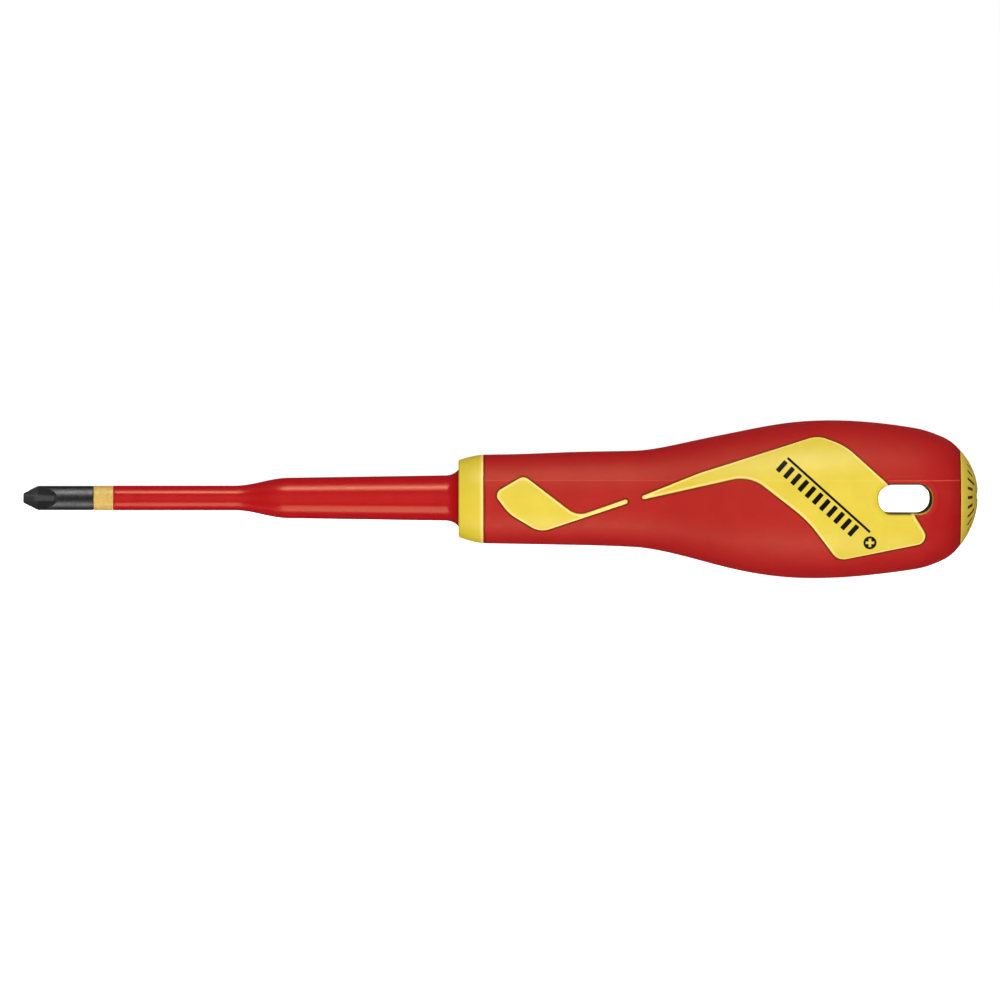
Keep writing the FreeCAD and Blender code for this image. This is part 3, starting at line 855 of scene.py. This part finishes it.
def make_end_cap():
    """The domed cap with its recessed cross and ticks, and the ink on the floors of the ticks."""
    ticks, cross = tick_loops(), cross_loop()
    rim_gaps = CAP_EDGE * np.array([0.06, 0.25, 0.55, 1.0, 1.8])
    rings = [circle(CAP_RADIUS - gap, 160) for gap in rim_gaps]
    for radius in np.arange(0.3, CAP_RADIUS - 0.6, CAP_GRID):
        rings.append(circle(radius, max(8, round(2 * math.pi * radius / (1.1 * CAP_GRID)))))
    floors = [shrunk(loop, TICK_SLOPE) for loop in ticks] + [shrunk(cross, 2 * TICK_SLOPE)]
    loops = [circle(CAP_RADIUS, 160)] + ticks + [cross]
    beside = [shrunk(loop, -0.1) for loop in ticks + [cross]]
    clear = []
    for ring in rings:
        gap = np.min([flat_distance(ring, loop) for loop in ticks + [cross]], axis=0)
        clear.append(ring[gap > 0.2])
    flat, faces = triangulated(loops, floors + beside + clear)
    depth = edge_drop(CAP_RADIUS - np.hypot(*flat.T), CAP_EDGE)
    middles = flat[faces].mean(1)
    inked = np.zeros(len(faces), bool)
    for loop in ticks:
        inside = within(flat, loop) & (flat_distance(flat, loop) > TICK_SLOPE / 2)
        depth[inside] += TICK_DEPTH
        inked |= within(middles, loop)
    in_cross = within(flat, cross) & (flat_distance(flat, cross) > TICK_SLOPE / 2)
    depth[in_cross] += CROSS_DEPTH
    back = on_dome(flat * 0.97, 0) * (0, 1, 1) + (GRIP_END - 0.6, 0, 0)
    cap = slab("end_cap_dome", on_dome(flat, depth), back, faces)
    used, ink_faces = np.unique(faces[inked], return_inverse=True)
    top, foot = (on_dome(flat[used], TICK_DEPTH * share) for share in (0.6, 2.0))
    ink = slab("end_cap_ticks", top, foot, ink_faces.reshape(-1, 3))
    return cap, ink


# --- Printed marks ------------------------------------------------------------------------------


def mark_loops():
    """The outlines of the rule, the bars under it and the round symbol, seen from the near side."""
    loops = [[rectangle(RULE_CENTRE, RULE_LENGTH, RULE_WIDTH, -BAR_TILT)]]
    for share in np.linspace(0, 1, BAR_COUNT):
        centre = [a + share * (b - a) for a, b in zip(BAR_FIRST, BAR_LAST)]
        loops.append([rectangle(centre, BAR_LENGTH, BAR_WIDTH, 90 - BAR_TILT)])
    a, b = SYMBOL_RADIUS * 0.65, SYMBOL_CROSS_WIDTH / 2
    x, z = SYMBOL_CENTRE
    cross = [complex(*p) * 1j**k for k in range(4) for p in ((a, -b), (a, b), (b, b))]
    loops.append([circle(SYMBOL_RADIUS, 48) + (x, z), np.array([(x + c.real, z + c.imag) for c in cross])])
    return loops


def make_marks():
    """All the marks of one side as one piece of thin film on the panel, and the same far side."""
    near = []
    for outline, *holes in mark_loops():
        loops = [flat_from_side(resampled(loop, 0.15)) for loop in [outline] + holes]
        low, high = loops[0].min(0), loops[0].max(0)
        stations, levels = (np.arange(a, b, MARK_GRID) for a, b in zip(low, high))
        spots = np.array([(x, w) for x in stations for w in levels])
        spots = spots[within(spots, loops[0])]
        flat, faces = triangulated(loops, [spots], gap=0.06)
        middles = flat[faces].mean(1)
        keep = within(middles, loops[0])
        for hole in loops[1:]:
            keep &= ~within(middles, hole)
        near.append((flat, faces[keep]))
    pieces = []
    for name, place in (("panel_marks_near", lambda p: p), ("panel_marks_far", half_turn)):
        flat = np.vstack([f for f, _ in near])
        shifts = np.cumsum([0] + [len(f) for f, _ in near])
        faces = np.vstack([f + s for (_, f), s in zip(near, shifts)])
        used, faces = np.unique(faces, return_inverse=True)
        flat = flat[used]
        outer, inner = (place(skin_from_flat(flat, d)) for d in (-INK_HEIGHT, INK_FOOT))
        pieces.append(slab(name, outer, inner, faces.reshape(-1, 3)))
    return pieces


# --- Materials ----------------------------------------------------------------------------------

NOISE_ENDS = (0.3, 0.7)       # where a noise has reached the first and the second of two values
GLOSS_NOISE = 700.0           # cells per metre
GRAIN_DEPTH = 0.02 * MM


def new_material(name):
    material = bpy.data.materials.new(name)
    material.use_nodes = True
    tree = material.node_tree
    return material, tree, tree.nodes["Principled BSDF"]


def noise(tree, scale, detail=4.0, roughness=0.55):
    """Noise in the object's own space. Scale is in cells per metre."""
    place = tree.nodes.new("ShaderNodeTexCoord")
    texture = tree.nodes.new("ShaderNodeTexNoise")
    texture.inputs["Scale"].default_value = scale
    texture.inputs["Detail"].default_value = detail
    texture.inputs["Roughness"].default_value = roughness
    tree.links.new(place.outputs["Object"], texture.inputs["Vector"])
    return texture.outputs["Fac"]


def ramp(tree, value, stops):
    """Two colours or greys along a value."""
    node = tree.nodes.new("ShaderNodeValToRGB")
    for element, (position, colour) in zip(node.color_ramp.elements, stops):
        element.position = position
        element.color = (*colour, 1) if isinstance(colour, tuple) else (colour,) * 3 + (1,)
    tree.links.new(value, node.inputs["Fac"])
    return node.outputs["Color"]


def bump(tree, height, distance_m, strength):
    node = tree.nodes.new("ShaderNodeBump")
    node.inputs["Distance"].default_value = distance_m
    node.inputs["Strength"].default_value = strength
    tree.links.new(height, node.inputs["Height"])
    return node.outputs["Normal"]


def plastic(
    name, dark, light, gloss, grain, scale=180.0, tint=(1.0, 1.0, 1.0), shine=0.5, edges=None,
    metal=0.0,
):
    """Moulded plastic: mottled colour, uneven gloss and a fine grain, given as scale and strength.

    Edges are the colours of painted highlight and painted shade that the piece takes where its shade is
    above and below 0."""
    material, tree, shader = new_material(name)
    links = tree.links
    colour = ramp(tree, noise(tree, scale), zip(NOISE_ENDS, (dark, light)))
    if edges:
        shade = tree.nodes.new("ShaderNodeAttribute")
        shade.attribute_name = "shade"
        for painted_colour, sign in zip(edges, (1, -1)):
            share = tree.nodes.new("ShaderNodeMath")
            share.operation = "MULTIPLY"
            share.use_clamp = True
            share.inputs[1].default_value = sign
            links.new(shade.outputs["Fac"], share.inputs[0])
            mix = tree.nodes.new("ShaderNodeMix")
            mix.data_type = "RGBA"
            links.new(share.outputs[0], mix.inputs["Factor"])
            links.new(colour, mix.inputs[6])
            mix.inputs[7].default_value = (*painted_colour, 1)
            colour = mix.outputs[2]
    links.new(colour, shader.inputs["Base Color"])
    roughness = ramp(tree, noise(tree, GLOSS_NOISE), zip(NOISE_ENDS, gloss))
    links.new(roughness, shader.inputs["Roughness"])
    links.new(bump(tree, noise(tree, grain[0], 2.0), GRAIN_DEPTH, grain[1]), shader.inputs["Normal"])
    shader.inputs["Specular Tint"].default_value = (*tint, 1)
    shader.inputs["Specular IOR Level"].default_value = shine
    shader.inputs["Metallic"].default_value = metal
    return material


def make_materials():
    # A painted highlight in cream and a painted shade in brown, laid on where the shade attribute says
    painted_highlight_cream, painted_shade_brown = (1.0, 0.79, 0.2), (0.085, 0.04, 0.004)
    return {
        # Its edge colours are a painted highlight on the mould line and a painted shade in the seams
        "red_grip_rubber": plastic(
            "soft_grip_red", (0.43, 0.007, 0.01), (0.465, 0.01, 0.012), (0.48, 0.56), (4500.0, 0.35),
            tint=(1.0, 0.58, 0.3), shine=0.75, edges=((0.8, 0.1, 0.06), (0.2, 0.006, 0.001)),
        ),
        "red_outer_layer": plastic(
            "sleeve_red", (0.47, 0.0045, 0.009), (0.51, 0.007, 0.011), (0.18, 0.24), (1200.0, 0.03),
            tint=(1.0, 0.58, 0.33), shine=0.8,
        ),
        "yellow_handle_plastic": plastic(
            "handle_yellow", (0.76, 0.575, 0.034), (0.81, 0.62, 0.044), (0.36, 0.46), (2500.0, 0.15),
            shine=0.6, edges=(painted_highlight_cream, painted_shade_brown),
        ),
        "yellow_cap_plastic": plastic(
            "cap_yellow", (0.80, 0.575, 0.065), (0.92, 0.695, 0.085), (0.34, 0.44), (2500.0, 0.2),
            edges=(painted_highlight_cream, painted_shade_brown),
        ),
        "yellow_inner_layer": plastic(
            "band_yellow", (0.62, 0.40, 0.08), (0.80, 0.52, 0.13), (0.3, 0.4), (2500.0, 0.12), 1200.0
        ),
        # Its light edge colour is a painted reflection on the tip's ground faces
        "blackened_steel": plastic(
            "black_oxide_steel", (0.15, 0.15, 0.15), (0.23, 0.23, 0.23), (0.42, 0.52), (3500.0, 0.3),
            1500.0, tint=(0.1, 0.1, 0.1), edges=((0.52, 0.52, 0.52),), metal=1.0,
        ),
        "core_plastic": plastic(
            "core_grey", (0.07, 0.07, 0.075), (0.1, 0.1, 0.105), (0.5, 0.6), (2500.0, 0.2)
        ),
        "black_ink": plastic(
            "print_black", (0.002, 0.002, 0.0015), (0.005, 0.004, 0.003), (0.5, 0.6), (4000.0, 0.1),
            shine=0.2,
        ),
        "brown_ink": plastic(
            "print_brown", (0.07, 0.03, 0.003), (0.12, 0.06, 0.007), (0.45, 0.55), (4000.0, 0.1),
            shine=0.3,
        ),
    }


def finish_piece(piece, material, slot, *nodes):
    piece.data.materials.clear()
    piece.data.materials.append(material)
    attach(piece, "root")
    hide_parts(*nodes)


# --- Stage --------------------------------------------------------------------------------------

CAMERA_TARGET = Vector((109.52, 0, -0.46)) * MM
CAMERA_DISTANCE = 4.02
CAMERA_ELEVATION = 1.0
FRAME_WIDTH = 229.7 * MM      # what the camera sees across, where the tool lies
SENSOR = 36.0

# Each light's name, angle from the near side up towards the top, distance, size and power, and
# whether the tool's gloss shows it
STRIPS = (
    ("strip_above", 58.0, 0.6, (0.34, 0.34), 0.8, True),
    ("strip_above_core", 57.0, 0.62, (0.34, 0.12), 0.6, True),
    ("strip_below", -62.0, 0.6, (0.34, 0.4), 0.95, True),
    ("side_above", 75.0, 0.9, (1.0, 0.4), 2.1, False),
    ("side_below", -75.0, 0.9, (1.0, 0.4), 4.0, False),
    ("front_fill", 0.0, 1.2, (1.2, 1.2), 10.6, False),
    ("back_fill", 180.0, 1.2, (1.2, 1.2), 16.0, False),
)
BUTT_FILL_PLACE, BUTT_FILL_SIZE, BUTT_FILL_WATTS = Vector((1.0, -0.45, 0.1)), (0.5, 0.5), 1.8
WORLD_AROUND = 0.04           # strength of the world's light on the tool
FLOOR_GAP = 0.3 * MM          # between the CAD box and the floor
FLOOR_REACH = 9.0


def make_camera():
    data = bpy.data.cameras.new("camera")
    camera = bpy.data.objects.new("camera", data)
    bpy.context.scene.collection.objects.link(camera)
    lift = math.radians(CAMERA_ELEVATION)
    camera.location = CAMERA_TARGET + CAMERA_DISTANCE * Vector((0, -math.cos(lift), math.sin(lift)))
    camera.rotation_euler = (math.pi / 2 - lift, 0, 0)
    data.sensor_width = SENSOR
    data.lens = SENSOR * CAMERA_DISTANCE / FRAME_WIDTH
    data.clip_start, data.clip_end = 0.1, 60.0
    bpy.context.scene.camera = camera


def area_light(name, size, watts, reflected):
    data = bpy.data.lights.new(name, "AREA")
    data.shape = "RECTANGLE"
    data.size, data.size_y = size
    data.energy = watts
    light = bpy.data.objects.new(name, data)
    bpy.context.scene.collection.objects.link(light)
    light.visible_glossy = reflected
    light.visible_camera = False
    return light


def make_lights():
    """Strips beside the tool that face its middle, and one soft light on its butt."""
    middle = Vector((cad_box[1].x / 2, 0, 0))
    for name, angle, distance_m, size, watts, reflected in STRIPS:
        light = area_light(name, size, watts, reflected)
        turn = math.radians(angle)
        light.location = middle + Vector((0, -math.cos(turn), math.sin(turn))) * distance_m
        light.rotation_euler = (math.pi / 2 - turn, 0, 0)
    butt_fill = area_light("butt_fill", BUTT_FILL_SIZE, BUTT_FILL_WATTS, False)
    butt_fill.location = BUTT_FILL_PLACE
    butt_fill.rotation_euler = (cad_box[1] - BUTT_FILL_PLACE).to_track_quat("-Z", "Y").to_euler()


def make_world():
    """White to the camera and dim on the tool, which the lights light."""
    world = bpy.data.worlds.new("studio")
    bpy.context.scene.world = world
    world.use_nodes = True
    tree = world.node_tree
    tree.nodes.clear()
    path = tree.nodes.new("ShaderNodeLightPath")
    seen, around = (tree.nodes.new("ShaderNodeBackground") for _ in range(2))
    seen.inputs["Color"].default_value = (1, 1, 1, 1)
    seen.inputs["Strength"].default_value = 1.0
    around.inputs["Color"].default_value = (0.97, 0.98, 1, 1)
    around.inputs["Strength"].default_value = WORLD_AROUND
    mix = tree.nodes.new("ShaderNodeMixShader")
    out = tree.nodes.new("ShaderNodeOutputWorld")
    tree.links.new(path.outputs["Is Camera Ray"], mix.inputs["Fac"])
    tree.links.new(around.outputs[0], mix.inputs[1])
    tree.links.new(seen.outputs[0], mix.inputs[2])
    tree.links.new(mix.outputs[0], out.inputs["Surface"])


def make_floor():
    """A white floor that neither shades nor colours the tool."""
    level, reach = cad_box[0].z - FLOOR_GAP, FLOOR_REACH
    mesh = bpy.data.meshes.new("floor")
    corners = [(-reach, -reach), (reach, -reach), (reach, reach), (-reach, reach)]
    mesh.from_pydata([(x, y, level) for x, y in corners], [], [(0, 1, 2, 3)])
    floor = bpy.data.objects.new("floor", mesh)
    bpy.context.scene.collection.objects.link(floor)
    material, _, shader = new_material("floor_white")
    shader.inputs["Base Color"].default_value = (0.9, 0.9, 0.9, 1)
    shader.inputs["Roughness"].default_value = 0.9
    shader.inputs["Emission Color"].default_value = (1, 1, 1, 1)
    shader.inputs["Emission Strength"].default_value = 1.0
    mesh.materials.append(material)
    floor.visible_glossy = False
    floor.visible_shadow = False
    floor.visible_diffuse = False
    floor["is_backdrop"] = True


# --- Making everything --------------------------------------------------------------------------


def main():
    bpy.context.scene.view_settings.view_transform = "Standard"
    make_camera()
    make_world()
    make_lights()
    make_floor()
    materials = make_materials()

    def finish(piece, slot, *nodes):
        finish_piece(piece, materials[slot], slot, *nodes)

    handle = HandleSkin()
    finish(swayed(make_grip(handle)), "red_grip_rubber", "soft_grip")
    for piece in [*make_windows(handle), make_lining(handle), make_collar()]:
        finish(swayed(piece), "yellow_handle_plastic", "handle_body")
    for piece in make_marks():
        finish(swayed(piece), "black_ink", "panel_marks")
    finish(make_outer_layer(), "red_outer_layer", "outer_insulation")
    finish(make_inner_layer(), "yellow_inner_layer", "inner_insulation")
    finish(make_blade(), "blackened_steel", "blade")
    cap, ink = make_end_cap()
    finish(swayed(cap), "yellow_cap_plastic", "end_cap")
    finish(swayed(ink), "brown_ink", "end_cap_marks")
    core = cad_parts["tang_core"]
    core.data.materials.clear()
    core.data.materials.append(materials["core_plastic"])


main()

boxes = {"cad": cad_box, "visual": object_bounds()}
boxes = {name: [list(corner) for corner in box] for name, box in boxes.items()}
